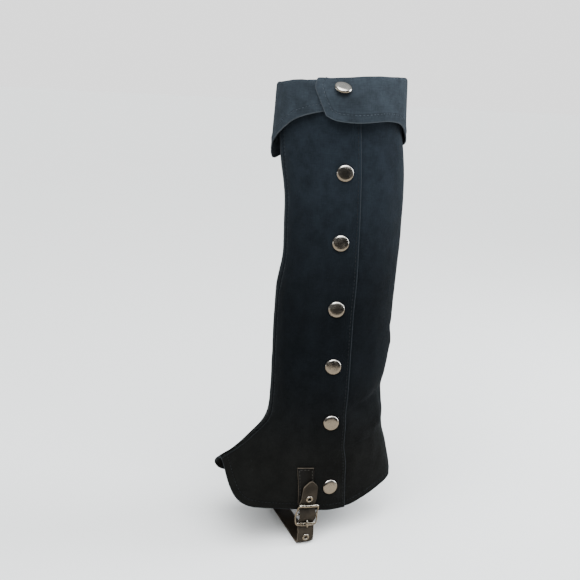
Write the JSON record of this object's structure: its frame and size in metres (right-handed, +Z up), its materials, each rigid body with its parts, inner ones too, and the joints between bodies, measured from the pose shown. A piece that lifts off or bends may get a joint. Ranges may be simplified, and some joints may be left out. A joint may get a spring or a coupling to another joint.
{
  "type": "boot cover",
  "caption": "Knee-high cloth boot cover with a turned-down cuff, a snap-closed outer side, a flared arched hem and a buckled strap underneath.",
  "frame": {"origin": "centre of the top opening at the height of the top snap, where the wearer holds the cover up; it hangs below", "axes": "+Z up, -X towards the toe end, -Y towards the outer side with the snaps and the buckle, +Y towards the plain inner side"},
  "size_m": [0.1854, 0.1348, 0.4548],
  "materials": {
    "black_cloth": "matte, brushed nap",
    "cuff_cloth": "matte, brushed nap",
    "snap_metal": "dark polished",
    "strap_leather": "semi-gloss",
    "nickel": "bright plated"
  },
  "bodies": {
    "root": {"front_outer_panel": "black_cloth", "back_outer_panel": "black_cloth", "inner_panel": "black_cloth", "cuff_front": "cuff_cloth", "cuff_back": "cuff_cloth", "snap_cap_1": "snap_metal", "snap_cap_2": "snap_metal", "snap_cap_3": "snap_metal", "snap_cap_4": "snap_metal", "snap_cap_5": "snap_metal", "snap_cap_6": "snap_metal", "snap_cap_7": "snap_metal", "snap_stud_2": "snap_metal", "snap_stud_3": "snap_metal", "snap_stud_4": "snap_metal", "snap_stud_5": "snap_metal", "snap_stud_6": "snap_metal", "snap_stud_7": "snap_metal", "strap_tab": "strap_leather", "sole_strap": "strap_leather", "eyelet_1": "nickel", "eyelet_3": "nickel", "buckle_frame": "nickel", "buckle_prong": "nickel"}
  },
  "joints": []
}
